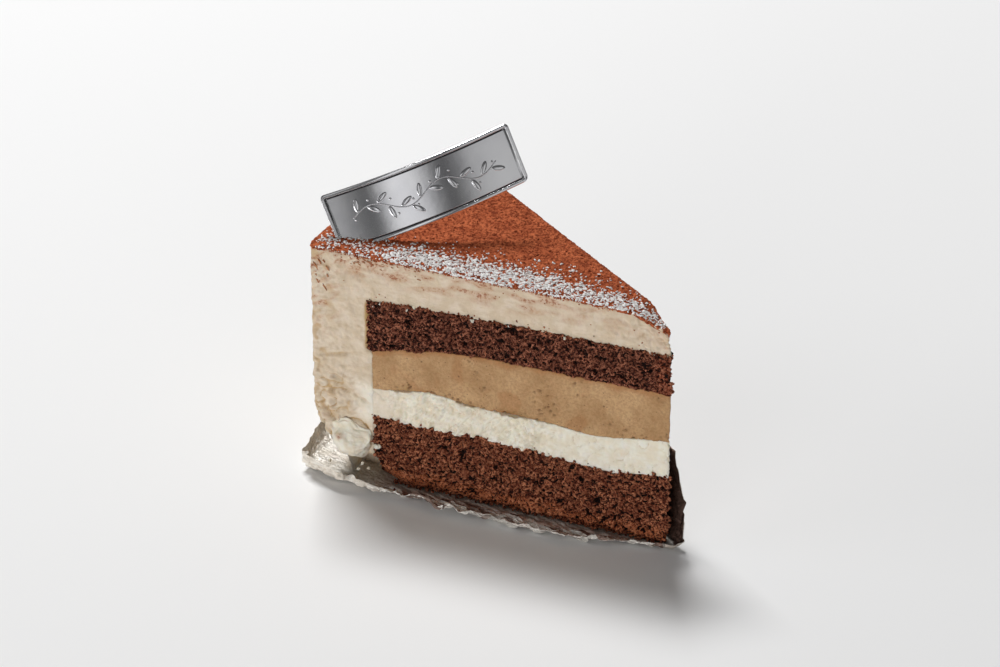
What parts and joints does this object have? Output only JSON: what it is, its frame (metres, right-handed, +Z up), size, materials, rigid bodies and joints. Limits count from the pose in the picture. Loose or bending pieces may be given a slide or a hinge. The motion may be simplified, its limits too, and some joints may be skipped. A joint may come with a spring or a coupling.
{
  "type": "chocolate cake slice",
  "caption": "Tall wedge of chocolate sponge, whipped cream and coffee mousse in a cream coat, dusted with cocoa, on a crinkled foil sheet with a plain metal plaque.",
  "frame": {"origin": "on the ground, in the middle of the object's plan", "axes": "+X towards the tip of the slice, the axis of the whole cake; +Y towards the far cut; +Z up"},
  "size_m": [0.1028, 0.0648, 0.085],
  "materials": {
    "foil": "thin silver foil, finely crinkled, bright along its folds",
    "chocolate_sponge": "torn open chocolate crumb with dark pores, fully matt",
    "whipped_cream": "soft ivory cream, satin, with knife drag marks on the cuts",
    "coffee_mousse": "smooth tan mousse with a few small air holes, matt",
    "cocoa": "sifted cocoa powder with a drift of icing sugar, fully matt and granular",
    "plaque_metal": "metallised card strip, smooth silver with a raised border"
  },
  "bodies": {
    "root": {"foil_sheet": "foil", "sponge_base": "chocolate_sponge", "cream_filling": "whipped_cream", "coffee_mousse": "coffee_mousse", "sponge_upper": "chocolate_sponge", "cream_coat": "whipped_cream", "cocoa_dusting": "cocoa", "plaque": "plaque_metal"}
  },
  "joints": []
}
